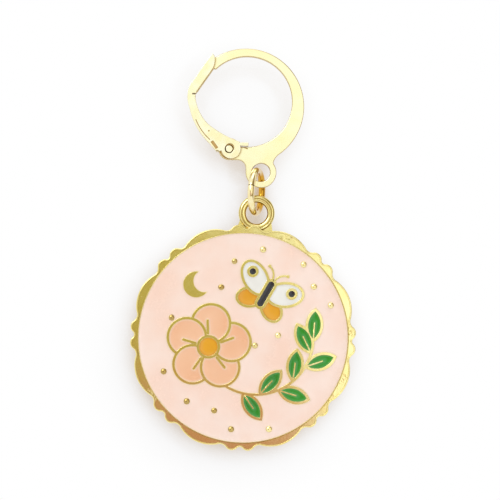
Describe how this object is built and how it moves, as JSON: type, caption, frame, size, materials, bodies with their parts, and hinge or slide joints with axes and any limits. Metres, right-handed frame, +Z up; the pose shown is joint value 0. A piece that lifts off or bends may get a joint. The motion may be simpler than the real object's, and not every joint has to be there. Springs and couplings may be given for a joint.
{
  "type": "stitch marker",
  "caption": "Leverback hoop with a jump ring and a scalloped round enamel charm, clipped onto knitting or crochet work to mark a stitch",
  "frame": {"origin": "centre of the hoop's round opening, midway through the hoop's thickness", "axes": "+Z up as the marker hangs, -Y out of the charm's enamelled front, +X to the right seen from the front"},
  "size_m": [0.025, 0.0052, 0.0445],
  "materials": {
    "finding_gold": "polished light gold plating",
    "ring_gold": "polished light gold plating",
    "charm_gold": "polished light gold plating",
    "pink_enamel": "glossy soft enamel",
    "salmon_enamel": "glossy soft enamel",
    "green_enamel": "glossy soft enamel",
    "white_enamel": "glossy soft enamel",
    "yellow_enamel": "glossy soft enamel",
    "black_enamel": "glossy soft enamel"
  },
  "bodies": {
    "hoop": {"hoop_plate": "finding_gold", "pivot_pin": "finding_gold"},
    "lever": {"lever": "finding_gold"},
    "ring": {"jump_ring": "ring_gold"},
    "charm": {"charm_body": "charm_gold", "ground_enamel": "pink_enamel", "blossom_eye_enamel": "yellow_enamel", "butterfly_trunk_enamel": "black_enamel", "petal_enamel_1": "salmon_enamel", "petal_enamel_2": "salmon_enamel", "petal_enamel_3": "salmon_enamel", "petal_enamel_4": "salmon_enamel", "petal_enamel_5": "salmon_enamel", "leaf_enamel_1": "green_enamel", "leaf_enamel_2": "green_enamel", "leaf_enamel_3": "green_enamel", "leaf_enamel_4": "green_enamel", "leaf_enamel_5": "green_enamel", "leaf_enamel_6": "green_enamel", "leaf_enamel_7": "green_enamel", "upper_wing_enamel_left": "white_enamel", "upper_wing_enamel_right": "white_enamel", "lower_wing_enamel_left": "yellow_enamel", "lower_wing_enamel_right": "yellow_enamel", "wing_spot_enamel_left": "black_enamel", "wing_spot_enamel_right": "black_enamel"}
  },
  "joints": [
    {"name": "lever_pivot", "type": "hinge", "parent": "hoop", "child": "lever", "pos_m": [-0.00197, 0, -0.00521], "axis": [0, -1, 0], "range_deg": [0, 70]},
    {"name": "ring_swing", "type": "hinge", "parent": "hoop", "child": "ring", "pos_m": [0.00155, 0, -0.00782], "axis": [0, 1, 0], "range_deg": [-40, 40]},
    {"name": "charm_swing", "type": "hinge", "parent": "ring", "child": "charm", "pos_m": [0.00104, 0, -0.00994], "axis": [0.9646, -0.2588, -0.0506], "range_deg": [-60, 60]}
  ]
}
